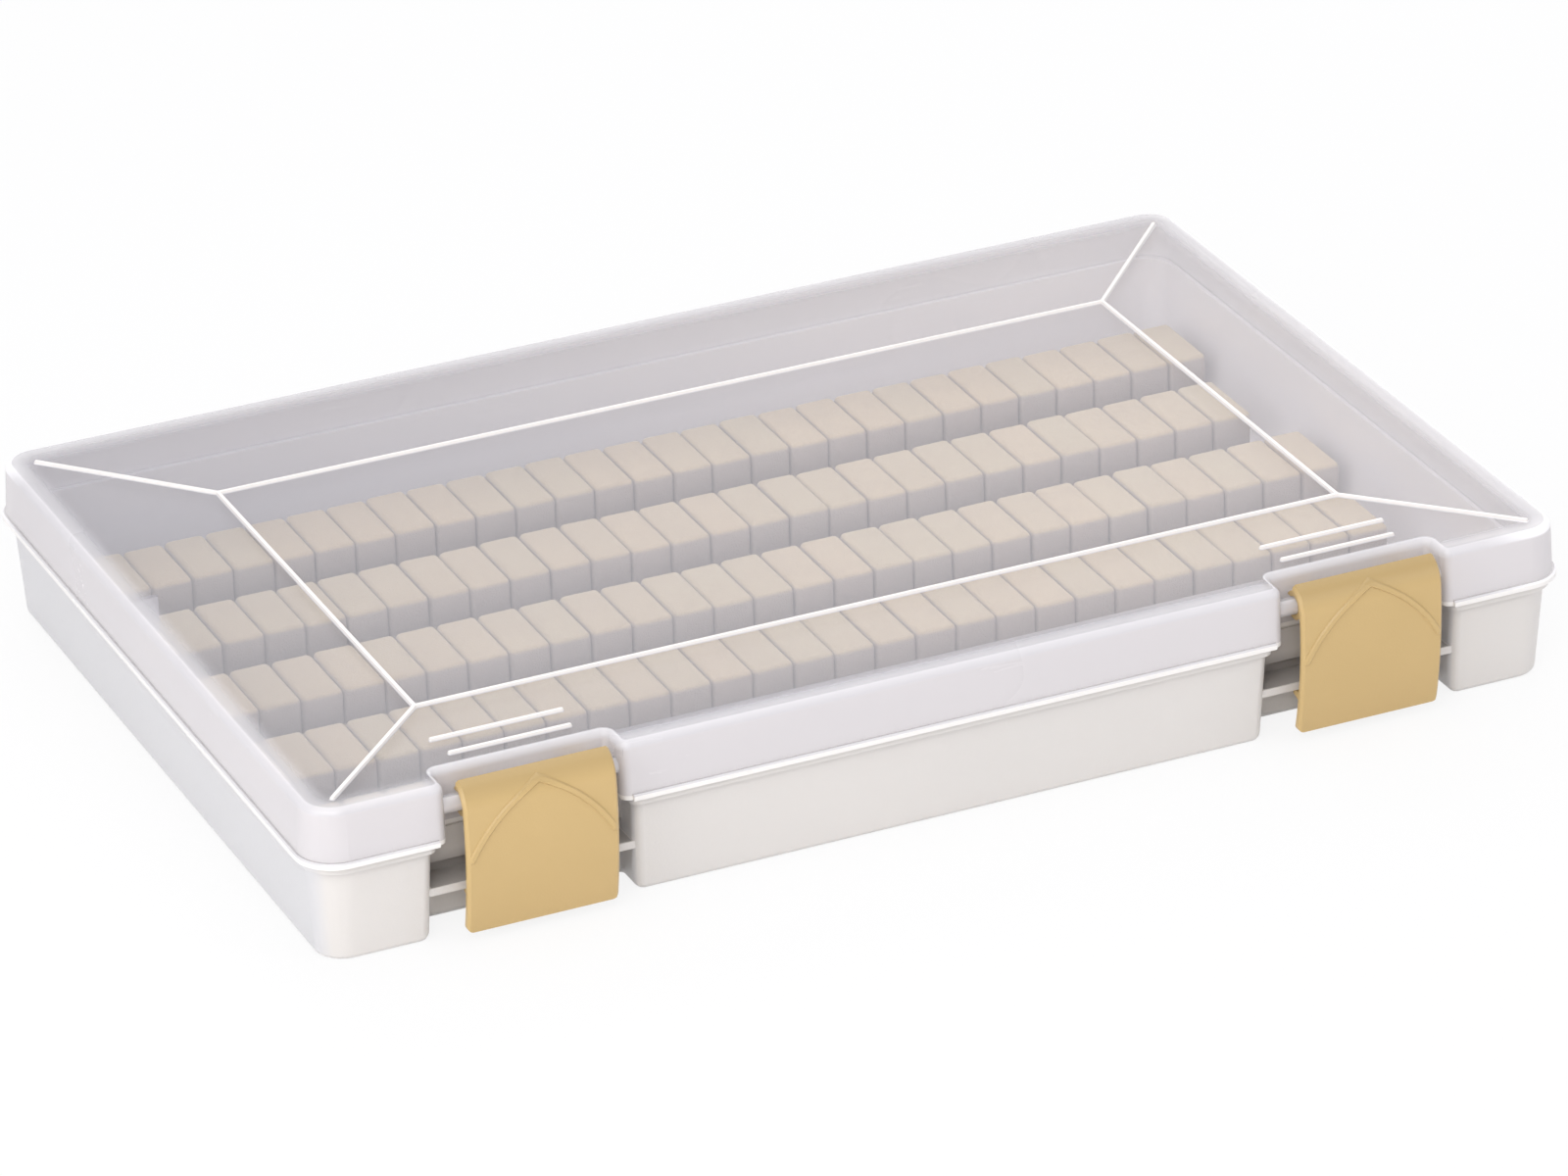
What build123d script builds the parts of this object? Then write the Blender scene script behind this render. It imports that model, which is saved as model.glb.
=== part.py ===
from build123d import *
from math import atan2, degrees, hypot
import os

# A clear-lidded jig box: a milky tray with five slit foam strips, a lid hinged
# along the back on three short pins, and two snap latches hung on rods in the lid.
# Millimetres. X runs along the box, the latches face -Y and Z is up from the table.
# Y is centred between the faces of the latches and the backs of the hinge barrels.

# Heights
FLOOR = 1.8
RIM_BOTTOM = 26.0
RIM_TOP = 28.1
LID_BOTTOM = 28.2
LID_TOP = 44.1
RIDGE_HEIGHT = 0.8
TONGUE_TOP = 31.0

# Plan of the lid's lip, the largest outline, and the walls of lid and tray
HALF_LENGTH = 177.3
HALF_WIDTH = 116.0
WALL = 1.8

# Insets from the lip, with the corner radius that each outline has
LIP_CORNER = 11.0
LIP_HEIGHT = 1.6
LIP_CHAMFER = 0.5
LIP_BREAK = 4.0
LID_FOOT_INSET = 1.0
LID_HEAD_INSET = 1.9
LID_CORNER = 10.0
LID_EDGE_RADIUS = 2.4
RIM_INSET = 1.5
RIM_STEP = 0.9
TRAY_FOOT_INSET = 4.6
TRAY_HEAD_INSET = 2.7
TRAY_CORNER = 8.0
TRAY_ROOM_CORNER = 6.5
TRAY_FOOT_RADIUS = 1.6
TONGUE_GAP = 0.35
TONGUE_CORNER = 7.8
TONGUE_SHOULDER = 0.6

# The apron across the middle of the tray's front, and the pocket behind it
POCKET_FOOT_BACK = -103.4
POCKET_HEAD_BACK = -105.0
APRON_RISE = 1.8
APRON_MARGIN = 3.0

# Latch recesses in the front, in the lid and in the tray
RECESS_X = 116.5
LID_RECESS_HALF = 23.4
LID_RECESS_BACK = -105.3
TRAY_RECESS_HEAD_HALF = 27.0
TRAY_RECESS_FOOT_HALF = 27.7
TRAY_RECESS_HEAD_BACK = -103.2
TRAY_RECESS_FOOT_BACK = -101.5
CHEEK_RADIUS = 2.7
NOOK_RADIUS = 1.5
LID_ROOM_CHEEK_RADIUS = 1.0
TRAY_ROOM_CHEEK_RADIUS = 1.5
ROOM_NOOK_RADIUS = 2.0
CROSSWALL_INSET = 0.5

# The catch rail across each tray recess, and the pad above it
RAIL_BOTTOM = 12.3
RAIL_TOP = 14.4
RAIL_FRONT = -111.3
PAD_BOTTOM = 17.8
PAD_FRONT = -104.4
PAD_INSET = 0.4

# Raised lines on the lid, and how far they are sunk in it
PANEL_HALF_LENGTH = 131.0
PANEL_FRONT = -72.5
PANEL_BACK = 64.0
RAY_X = 167.4
RAY_FRONT = -108.3
RAY_BACK = 103.9
RIDGE_WIDTH = 1.9
RIDGE_SINK = 0.4
RIDGE_DRAFT = 22.0
GRIP_LINES = ((-91.0, 35.0), (-99.6, 32.0))

# Stop tab under the lid, beside the left wall
TAB_Y = 19.0
TAB_OUTER_X = -174.6
TAB_INNER_X = -165.4
TAB_BOTTOM = 32.1
TAB_THICKNESS = 1.4

# Rods in the lid that the latches hang on
ROD_Y = -110.5
ROD_Z = 36.7
ROD_RADIUS = 2.3
ROD_SINK = 0.6

# Latch plate: the faces of its section as (y, z) from the toe to the curl at the top
LATCH_HALF = 20.5
LATCH_FACE = ((-117.4, 3.0), (-119.28, 19.0), (-118.98, 37.5), (-113.7, 44.4))
LATCH_BACK = ((-115.3, 3.2), (-117.7, 19.0), (-117.4, 37.5), (-113.2, 42.6))
LATCH_TOP = 45.2
LATCH_TOE_CORNER = 1.8
LATCH_TOP_CORNER = 1.2
LATCH_EDGE = 0.7
LATCH_CUT_Y = -100.0
LATCH_CUT_DEPTH = 30.0

# Latch clips and hook, with the hook's section as (y, z)
CLIP_BORE = 2.45
CLIP_RADIUS = 3.9
CLIP_MOUTH = 3.7
CLIP_WIDTH = 8.0
CLIP_X = 14.5
CLIP_ARM_HALF = 2.6
CLIP_ROOT = -118.2
HOOK_HALF = 18.0
HOOK_SECTION = ((-117.6, 12.1), (-109.3, 12.1), (-109.9, 10.9), (-113.0, 9.7), (-117.6, 8.1))

# The raised line in the shape of a pointed arch on each latch
ARCH_HALF = 19.8
ARCH_FOOT = 23.6
ARCH_CENTRE_X = 15.1
ARCH_CENTRE_Z = 6.3
ARCH_RADIUS = 38.8
ARCH_LINE = 1.8
ARCH_RELIEF = 0.5
ARCH_CHAMFER = 0.4

# Hinge
HINGE_Y = 117.5
HINGE_Z = 27.6
HINGE_STATIONS = (-112.0, 0.0, 112.0)
BARREL_RADIUS = 2.5
BARREL_GAP = 0.3
LID_BARREL_HALF = 5.0
LID_WEB_ROOT = 1.6
TRAY_WEB_ROOT = 3.4
HINGE_HALF = 12.0
PIN_RADIUS = 1.0
PIN_PLAY = 0.12

# Foam strips, glued to the floor
FOAM_TOP = 18.1
FOAM_BLOCKS = 28
FOAM_PITCH = 11.7
FOAM_WIDTH = 24.0
FOAM_SLIT = 0.7
FOAM_SLIT_DEPTH = 11.0
FOAM_CHAMFER = 0.8
FOAM_BACK_ROW_Y = 82.0
FOAM_ROW_PITCH = 39.3
FOAM_STAGGER = 3.25
FOAM_ROWS = 5

# How far a cutter reaches past the plastic, and a wall or rail into the next one
PAST = 1.0
INTO = 0.2

# How near an upright edge stands to its nominal place, its least length, and a hair's breadth
NEAR = 2.0
UPRIGHT = 9.0
HAIR = 0.1


def block(x0, x1, y0, y1, z0, z1):
    """A box between two corners."""
    middle = Pos((x0 + x1) / 2, (y0 + y1) / 2, (z0 + z1) / 2)
    return middle * Box(x1 - x0, y1 - y0, z1 - z0)


def outline(corners, z):
    """A face at height z from (x, y, radius) corners."""
    points = [(x, y) for x, y, _ in corners]
    radii = [r for _, _, r in corners]
    return Pos(0, 0, z) * make_face(FilletPolyline(*points, radius=radii, close=True))


def rounded_plan(inset, corner, z):
    """The plan of the box without recesses."""
    x = HALF_LENGTH - inset
    y = HALF_WIDTH - inset
    return Pos(0, 0, z) * RectangleRounded(2 * x, 2 * y, corner)


def drafted_box(foot_inset, head_inset, corner, z0, z1):
    """A rounded box whose four sides lean from one inset to the other."""
    taper = degrees(atan2(head_inset - foot_inset, z1 - z0))
    return extrude(rounded_plan(foot_inset, corner, z0), amount=z1 - z0, taper=taper)


def frustum(foot, head):
    """A block with leaning flat sides between two rectangles, each (x0, x1, y0, y1, z)."""
    rings = []
    for x0, x1, y0, y1, z in (foot, head):
        rings.append([(x0, y0, z), (x1, y0, z), (x1, y1, z), (x0, y1, z)])
    quads = [rings[0][::-1], rings[1]]
    for i in range(4):
        j = (i + 1) % 4
        quads.append([rings[0][i], rings[0][j], rings[1][j], rings[1][i]])
    return Solid(Shell([Face(Wire.make_polygon(quad)) for quad in quads]))


def round_uprights(solid, x_places, y, radius):
    """Rounds the edges that stand on one line in Y, at these distances from the middle."""
    def stands(edge):
        middle = edge.center()
        beside = any(abs(abs(middle.X) - x) < NEAR for x in x_places)
        return edge.bounding_box().size.Z > UPRIGHT and abs(middle.Y - y) < NEAR and beside
    return fillet(solid.edges().filter_by(stands), radius)


def raised(face):
    """A raised line on the lid with leaning sides, from its face at height zero."""
    height = RIDGE_HEIGHT + RIDGE_SINK
    return extrude(Pos(0, 0, LID_TOP - RIDGE_SINK) * face, amount=height, taper=RIDGE_DRAFT)


def line_between(start, end):
    """The face of one line with blunted ends."""
    dx = end[0] - start[0]
    dy = end[1] - start[1]
    bar = Rectangle(hypot(dx, dy) + RIDGE_WIDTH, RIDGE_WIDTH)
    bar = Rot(0, 0, degrees(atan2(dy, dx))) * chamfer(bar.vertices(), RIDGE_WIDTH / 4)
    return Pos((start[0] + end[0]) / 2, (start[1] + end[1]) / 2, 0) * bar


def panel_frame():
    """The face of the four lines round the middle of the lid."""
    length = 2 * PANEL_HALF_LENGTH
    width = PANEL_BACK - PANEL_FRONT
    frame = Rectangle(length + RIDGE_WIDTH, width + RIDGE_WIDTH)
    frame -= Rectangle(length - RIDGE_WIDTH, width - RIDGE_WIDTH)
    return Pos(0, (PANEL_BACK + PANEL_FRONT) / 2, 0) * frame


def lid_ridges():
    """The panel with its rays to the corners, and two grip lines over each latch."""
    lines = [raised(panel_frame())]
    for side in (-1, 1):
        for y, ray_y in ((PANEL_FRONT, RAY_FRONT), (PANEL_BACK, RAY_BACK)):
            lines.append(raised(line_between((side * PANEL_HALF_LENGTH, y), (side * RAY_X, ray_y))))
        for y, length in GRIP_LINES:
            x = side * RECESS_X
            lines.append(raised(line_between((x - length / 2, y), (x + length / 2, y))))
    return lines


def barrel(x0, x1, radius):
    """A cylinder about the hinge axis."""
    return Pos((x0 + x1) / 2, HINGE_Y, HINGE_Z) * Rot(0, 90, 0) * Cylinder(radius, x1 - x0)


def lid_barrel(x):
    """The lid's knuckle at one hinge station, with the web that joins it to the lip."""
    x0 = x - LID_BARREL_HALF
    x1 = x + LID_BARREL_HALF
    web = block(x0, x1, HALF_WIDTH - LID_WEB_ROOT, HINGE_Y, LID_BOTTOM, HINGE_Z + BARREL_RADIUS)
    return barrel(x0, x1, BARREL_RADIUS) + web - barrel(x0 - PAST, x1 + PAST, PIN_RADIUS + PIN_PLAY)


def tray_barrels(x):
    """The tray's two knuckles at one hinge station, with their webs to the rim."""
    knuckles = []
    for x0, x1 in ((x - HINGE_HALF, x - LID_BARREL_HALF - BARREL_GAP),
                   (x + LID_BARREL_HALF + BARREL_GAP, x + HINGE_HALF)):
        web = block(x0, x1, HALF_WIDTH - TRAY_WEB_ROOT, HINGE_Y, HINGE_Z - BARREL_RADIUS, HINGE_Z)
        knuckles.append(barrel(x0, x1, BARREL_RADIUS) + web - barrel(x0 - PAST, x1 + PAST, PIN_RADIUS))
    return knuckles


def lid_lip():
    """The flange round the lid's foot, broken at the two recesses."""
    flange = extrude(rounded_plan(0, LIP_CORNER, LID_BOTTOM), amount=LIP_HEIGHT)
    flange = chamfer(flange.edges().group_by(Axis.Z)[-1], LIP_CHAMFER)
    flange -= extrude(rounded_plan(LID_FOOT_INSET + WALL / 2, LID_CORNER, LID_BOTTOM), amount=LIP_HEIGHT)
    gap = LID_RECESS_HALF + CHEEK_RADIUS
    for side in (-1, 1):
        x = side * RECESS_X
        flange -= block(x - gap, x + gap, -HALF_WIDTH - PAST, LIP_BREAK - HALF_WIDTH, LID_BOTTOM, LID_TOP)
    return flange


def lid_form(extra, cheek, nook, top):
    """The lid's outside, or its room when it is drawn in by the wall."""
    half = LID_RECESS_HALF + extra
    back = LID_RECESS_BACK + extra
    foot = LID_FOOT_INSET + extra
    form = drafted_box(foot, LID_HEAD_INSET + extra, LID_CORNER - extra, LID_BOTTOM, top)
    for side in (-1, 1):
        x = side * RECESS_X
        form -= block(x - half, x + half, -HALF_WIDTH - PAST, back, LID_BOTTOM - PAST, top + PAST)
    places = (RECESS_X - half, RECESS_X + half)
    return round_uprights(round_uprights(form, places, back, nook), places, foot - HALF_WIDTH, cheek)


def lid_shell():
    """The lid's drafted top and skirt, rounded over and hollow below."""
    shell = lid_form(0, CHEEK_RADIUS, NOOK_RADIUS, LID_TOP)
    shell = fillet(shell.edges().group_by(Axis.Z)[-1], LID_EDGE_RADIUS)
    return shell - lid_form(WALL, LID_ROOM_CHEEK_RADIUS, ROOM_NOOK_RADIUS, LID_TOP - WALL)


def lid():
    """The clear lid with its lip, ridges, latch rods, stop tab and hinge knuckles."""
    half = RECESS_X - LID_RECESS_HALF - CROSSWALL_INSET
    under = LID_TOP - PAST
    shell = lid_shell() + lid_lip()
    shell += block(-half, half, LID_RECESS_BACK, LID_RECESS_BACK + WALL, LID_BOTTOM, under)
    for side in (-1, 1):
        rod = Rot(0, 90, 0) * Cylinder(ROD_RADIUS, 2 * (LID_RECESS_HALF + ROD_SINK))
        shell += Pos(side * RECESS_X, ROD_Y, ROD_Z) * rod
    tab_half = TAB_THICKNESS / 2
    shell += block(TAB_OUTER_X, TAB_INNER_X, TAB_Y - tab_half, TAB_Y + tab_half, TAB_BOTTOM, under)
    shell += lid_ridges()
    for x in HINGE_STATIONS:
        reach = HINGE_HALF + BARREL_GAP
        shell -= barrel(x - reach, x + reach, BARREL_RADIUS + BARREL_GAP)
        shell += lid_barrel(x)
    return shell


def tray_draft(z, foot, head):
    """A size of the tray's recess at height z, between its foot and its head."""
    return foot + (head - foot) * z / RIM_BOTTOM


def tray_recess(side):
    """The room of one recess in the tray."""
    ends = []
    for z in (-PAST, RIM_BOTTOM + PAST):
        half = tray_draft(z, TRAY_RECESS_FOOT_HALF, TRAY_RECESS_HEAD_HALF)
        back = tray_draft(z, TRAY_RECESS_FOOT_BACK, TRAY_RECESS_HEAD_BACK)
        ends.append((side * RECESS_X - half, side * RECESS_X + half, -HALF_WIDTH - PAST, back, z))
    return frustum(*ends)


def tray_rim():
    """The rim round the tray's head, stepped in over the recesses."""
    x = HALF_LENGTH - RIM_INSET
    y = HALF_WIDTH - RIM_INSET
    half = TRAY_RECESS_HEAD_HALF - RIM_STEP
    back = TRAY_RECESS_HEAD_BACK - RIM_STEP
    corners = [(-x, -y, LID_CORNER)]
    for place in (-RECESS_X, RECESS_X):
        corners += [(place - half, -y, CHEEK_RADIUS), (place - half, back, NOOK_RADIUS)]
        corners += [(place + half, back, NOOK_RADIUS), (place + half, -y, CHEEK_RADIUS)]
    corners += [(x, -y, LID_CORNER), (x, y, LID_CORNER), (-x, y, LID_CORNER)]
    return extrude(outline(corners, RIM_BOTTOM), amount=RIM_TOP - RIM_BOTTOM)


def tray_walls():
    """The tray's outside: drafted walls under the rim, with a foot radius."""
    walls = drafted_box(TRAY_FOOT_INSET, TRAY_HEAD_INSET, TRAY_CORNER, 0, RIM_BOTTOM)
    walls = fillet(walls.edges().group_by(Axis.Z)[0], TRAY_FOOT_RADIUS)
    for side in (-1, 1):
        walls -= tray_recess(side)
    places = (RECESS_X - TRAY_RECESS_FOOT_HALF, RECESS_X + TRAY_RECESS_FOOT_HALF)
    walls = round_uprights(walls, places, TRAY_RECESS_FOOT_BACK, NOOK_RADIUS)
    walls = round_uprights(walls, places, TRAY_FOOT_INSET - HALF_WIDTH, CHEEK_RADIUS)
    return walls + tray_rim()


def tray_tongue():
    """The upstand inside the lid's skirt, before the room is taken out."""
    inset = LID_FOOT_INSET + WALL + TONGUE_GAP
    x = HALF_LENGTH - inset
    y = HALF_WIDTH - inset
    shoulder = RECESS_X + TRAY_RECESS_HEAD_HALF + TONGUE_SHOULDER
    front = LID_RECESS_BACK + WALL + TONGUE_GAP
    corners = [(-x, -y, TONGUE_CORNER), (-shoulder, -y, TRAY_ROOM_CHEEK_RADIUS),
               (-shoulder, front, ROOM_NOOK_RADIUS), (shoulder, front, ROOM_NOOK_RADIUS),
               (shoulder, -y, TRAY_ROOM_CHEEK_RADIUS), (x, -y, TONGUE_CORNER),
               (x, y, TONGUE_CORNER), (-x, y, TONGUE_CORNER)]
    return extrude(outline(corners, RIM_TOP - INTO), amount=TONGUE_TOP - RIM_TOP + INTO)


def tray_room():
    """The room inside the tray, straight behind the recesses and the middle."""
    top = TONGUE_TOP + PAST
    foot = TRAY_FOOT_INSET + WALL
    room = drafted_box(foot, TRAY_HEAD_INSET + WALL, TRAY_ROOM_CORNER, FLOOR, top)
    ends = []
    for z in (FLOOR - PAST, top + PAST):
        shoulder = RECESS_X + tray_draft(z, TRAY_RECESS_FOOT_HALF, TRAY_RECESS_HEAD_HALF) + WALL
        front = tray_draft(z, TRAY_RECESS_FOOT_BACK, TRAY_RECESS_HEAD_BACK) + WALL
        ends.append((-shoulder, shoulder, -HALF_WIDTH - PAST, front, z))
    room -= frustum(*ends)
    places = (RECESS_X + TRAY_RECESS_FOOT_HALF + WALL,)
    room = round_uprights(room, places, TRAY_RECESS_FOOT_BACK + WALL, ROOM_NOOK_RADIUS)
    return round_uprights(room, places, foot - HALF_WIDTH, TRAY_ROOM_CHEEK_RADIUS)


def middle_pocket():
    """The hollow behind the front apron, between the recesses and open below."""
    ends = []
    for inset, back, half, z in ((TRAY_FOOT_INSET, POCKET_FOOT_BACK, TRAY_RECESS_FOOT_HALF, -PAST),
                                 (TRAY_HEAD_INSET, POCKET_HEAD_BACK, TRAY_RECESS_HEAD_HALF, RIM_BOTTOM)):
        reach = RECESS_X - half - WALL
        ends.append((-reach, reach, inset + WALL - HALF_WIDTH, back, z))
    return frustum(*ends)


def apron_arch():
    """The low arch cut in the bottom edge of the middle of the front."""
    half = RECESS_X - TRAY_RECESS_FOOT_HALF - APRON_MARGIN
    arc = ThreePointArc((-half, 0), (0, APRON_RISE), (half, 0))
    base = Polyline((half, 0), (half, -PAST), (-half, -PAST), (-half, 0))
    face = make_face(Plane.XZ.offset(HALF_WIDTH + PAST) * (arc + base))
    return extrude(face, amount=-(HALF_WIDTH + PAST + TRAY_RECESS_FOOT_BACK))


def base_tray():
    """The milky tray with its catch rails and hinge knuckles."""
    tray = tray_walls() + tray_tongue()
    tray -= tray_room()
    tray -= middle_pocket()
    tray -= apron_arch()
    root = TRAY_RECESS_FOOT_BACK + INTO
    half = TRAY_RECESS_FOOT_HALF + INTO
    for x in (-RECESS_X, RECESS_X):
        tray += block(x - half, x + half, RAIL_FRONT, root, RAIL_BOTTOM, RAIL_TOP)
        pad_half = half - PAD_INSET
        tray += block(x - pad_half, x + pad_half, PAD_FRONT, root, PAD_BOTTOM, RIM_TOP - PAST)
    for x in HINGE_STATIONS:
        reach = LID_BARREL_HALF + BARREL_GAP
        tray -= barrel(x - reach, x + reach, BARREL_RADIUS + BARREL_GAP)
        tray += tray_barrels(x)
    return tray


def latch_slab(relief):
    """The latch plate at its full width, a gentle bow that curls over at the top."""
    toe, bow, shoulder, crest = [(y - relief, z) for y, z in LATCH_FACE]
    crest = (LATCH_FACE[3][0], LATCH_FACE[3][1] + relief)
    face = ThreePointArc(toe, bow, shoulder)
    face += TangentArc(shoulder, crest, tangent=face % 1)
    inner_toe, inner_bow, inner_shoulder, lip = LATCH_BACK
    back = ThreePointArc(inner_toe, inner_bow, inner_shoulder)
    back += TangentArc(inner_shoulder, lip, tangent=back % 1)
    section = make_face(Plane.YZ * (face + Line(crest, lip) + back + Line(inner_toe, toe)))
    return extrude(section, amount=LATCH_HALF, both=True)


def outward_edges(solid, keep):
    """The edges of a latch piece's outward face whose middles pass the test."""
    faces = solid.faces().filter_by(lambda face: face.normal_at().Y < -0.3)
    return faces.edges().filter_by(lambda edge: keep(edge.center()))


def latch_front():
    """The latch's front outline, with its corners rounded."""
    bottom = LATCH_FACE[0][1]
    points = [(-LATCH_HALF, bottom), (LATCH_HALF, bottom), (LATCH_HALF, LATCH_TOP), (-LATCH_HALF, LATCH_TOP)]
    radii = [LATCH_TOE_CORNER, LATCH_TOE_CORNER, LATCH_TOP_CORNER, LATCH_TOP_CORNER]
    face = make_face(Plane.XZ.offset(-LATCH_CUT_Y) * FilletPolyline(*points, radius=radii, close=True))
    return extrude(face, amount=LATCH_CUT_DEPTH)


def under_arch(radius):
    """The pointed shape that two discs of one size share."""
    disc = Circle(radius)
    return Pos(ARCH_CENTRE_X, ARCH_CENTRE_Z) * disc & Pos(-ARCH_CENTRE_X, ARCH_CENTRE_Z) * disc


def pointed_arch():
    """The raised line in the shape of a pointed arch on the latch's face."""
    line = under_arch(ARCH_RADIUS + ARCH_LINE / 2) - under_arch(ARCH_RADIUS - ARCH_LINE / 2)
    line &= Pos(0, ARCH_FOOT + LATCH_HALF) * Rectangle(2 * ARCH_HALF, 2 * LATCH_HALF)
    band = extrude(Plane.XZ.offset(-LATCH_CUT_Y) * line, amount=LATCH_CUT_DEPTH)
    bead = latch_slab(ARCH_RELIEF) & band
    shoulder = LATCH_FACE[2][1]
    return chamfer(outward_edges(bead, lambda middle: abs(middle.Z - shoulder) > HAIR), ARCH_CHAMFER)


def latch_clip(x):
    """An open clip round the lid's rod, with the arm that joins it to the plate."""
    x0 = x - CLIP_WIDTH / 2
    x1 = x + CLIP_WIDTH / 2
    place = Pos(x, ROD_Y, ROD_Z) * Rot(0, 90, 0)
    clip = place * Cylinder(CLIP_RADIUS, CLIP_WIDTH)
    clip += block(x0, x1, CLIP_ROOT, ROD_Y, ROD_Z - CLIP_ARM_HALF, ROD_Z + CLIP_ARM_HALF)
    clip -= place * Cylinder(CLIP_BORE, CLIP_WIDTH + 2 * PAST)
    mouth = CLIP_MOUTH / 2
    end = ROD_Y + CLIP_RADIUS + PAST
    return clip - block(x0 - PAST, x1 + PAST, ROD_Y, end, ROD_Z - mouth, ROD_Z + mouth)


def latch(x):
    """One snap latch: bowed plate, two clips round the lid's rod and a hook."""
    plate = latch_slab(0)
    rims = outward_edges(plate, lambda middle: abs(middle.X) > LATCH_HALF - HAIR)
    plate = chamfer(rims, LATCH_EDGE) & latch_front()
    plate += pointed_arch()
    plate += [latch_clip(-CLIP_X), latch_clip(CLIP_X)]
    hook = make_face(Plane.YZ * Polyline(*HOOK_SECTION, close=True))
    plate += extrude(hook, amount=HOOK_HALF, both=True)
    return Pos(x, 0, 0) * plate


def foam_row(row):
    """One strip of foam, slit across into blocks and staggered from its neighbour."""
    length = FOAM_BLOCKS * FOAM_PITCH
    shoulder = FOAM_TOP - FOAM_CHAMFER
    points = [(0, FLOOR)]
    for i in range(FOAM_BLOCKS):
        left = i * FOAM_PITCH
        right = left + FOAM_PITCH
        mouth = FOAM_SLIT / 2
        points += [(left + mouth, shoulder), (left + mouth + FOAM_CHAMFER, FOAM_TOP)]
        points += [(right - mouth - FOAM_CHAMFER, FOAM_TOP), (right - mouth, shoulder)]
        if i < FOAM_BLOCKS - 1:
            points.append((right, FOAM_TOP - FOAM_SLIT_DEPTH))
    points.append((length, FLOOR))
    y = FOAM_BACK_ROW_Y - row * FOAM_ROW_PITCH
    x = -length / 2 + (FOAM_STAGGER if row % 2 == 0 else -FOAM_STAGGER)
    face = make_face(Plane.XZ * Polyline(*points, close=True))
    return Pos(x, y, 0) * extrude(face, amount=FOAM_WIDTH / 2, both=True)


def hinge_pin(x):
    """A steel pin, tight in the tray's knuckles and loose in the lid's."""
    return barrel(x - HINGE_HALF, x + HINGE_HALF, PIN_RADIUS)


os.makedirs("parts", exist_ok=True)
export_step(base_tray(), "parts/base_tray.step")
export_step(lid(), "parts/lid.step")
for name, x in (("left", -RECESS_X), ("right", RECESS_X)):
    export_step(latch(x), f"parts/{name}_latch.step")
for row in range(FOAM_ROWS):
    export_step(foam_row(row), f"parts/foam_strip_{row + 1}.step")
for name, x in zip(("left", "middle", "right"), HINGE_STATIONS):
    export_step(hinge_pin(x), f"parts/hinge_pin_{name}.step")
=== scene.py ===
"""The jig box dressed for its picture: clear lid, milky tray, gold latches and slit foam."""

import logging
import math
from dataclasses import dataclass, field
from enum import Enum

import bmesh
import bpy
from mathutils import Matrix, Vector


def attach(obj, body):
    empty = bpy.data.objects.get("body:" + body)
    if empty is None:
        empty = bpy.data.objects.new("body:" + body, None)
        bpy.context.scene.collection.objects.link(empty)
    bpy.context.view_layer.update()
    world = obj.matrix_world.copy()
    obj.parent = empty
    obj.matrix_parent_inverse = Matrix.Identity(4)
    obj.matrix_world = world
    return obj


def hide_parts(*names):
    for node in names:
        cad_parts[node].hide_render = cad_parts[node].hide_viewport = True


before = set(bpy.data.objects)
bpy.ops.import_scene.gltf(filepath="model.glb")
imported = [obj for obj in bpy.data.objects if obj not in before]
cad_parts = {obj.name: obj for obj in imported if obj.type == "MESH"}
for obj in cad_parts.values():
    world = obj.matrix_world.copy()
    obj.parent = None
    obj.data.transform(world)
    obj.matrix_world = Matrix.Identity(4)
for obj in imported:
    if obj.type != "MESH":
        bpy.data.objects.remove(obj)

MM = 0.001
BLOCK_TINT = "block_tint"
TINT_SPREAD = 1.0
LOG = logging.getLogger("jig_box")

# How a sheet sets out its nodes
COLUMN_STEP = 190.0
ROW_STEP = 140.0
SHEET_ROWS = 3

# Sockets that share their name with others of the same node
MIX_FACTOR = 0
MIX_VALUES = (2, 3)
MIX_COLOURS = (6, 7)
MIXED_VALUE = 0
MIXED_COLOUR = 2
RANDOM_LIMITS = (2, 3)
RANDOM_VALUE = 1

Colour = tuple[float, float, float]
Point = tuple[float, float, float]
Range = tuple[float, float]


class Slot(Enum):
    """The record's material slots."""

    MILKY = "milky_plastic"
    CLEAR = "clear_plastic"
    GOLD = "gold_plastic"
    FOAM = "foam"
    STEEL = "pin_steel"


class Body(Enum):
    """The bodies that pieces ride on."""

    BASE = "base"
    LID = "lid"
    LEFT_LATCH = "left_latch"
    RIGHT_LATCH = "right_latch"


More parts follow.
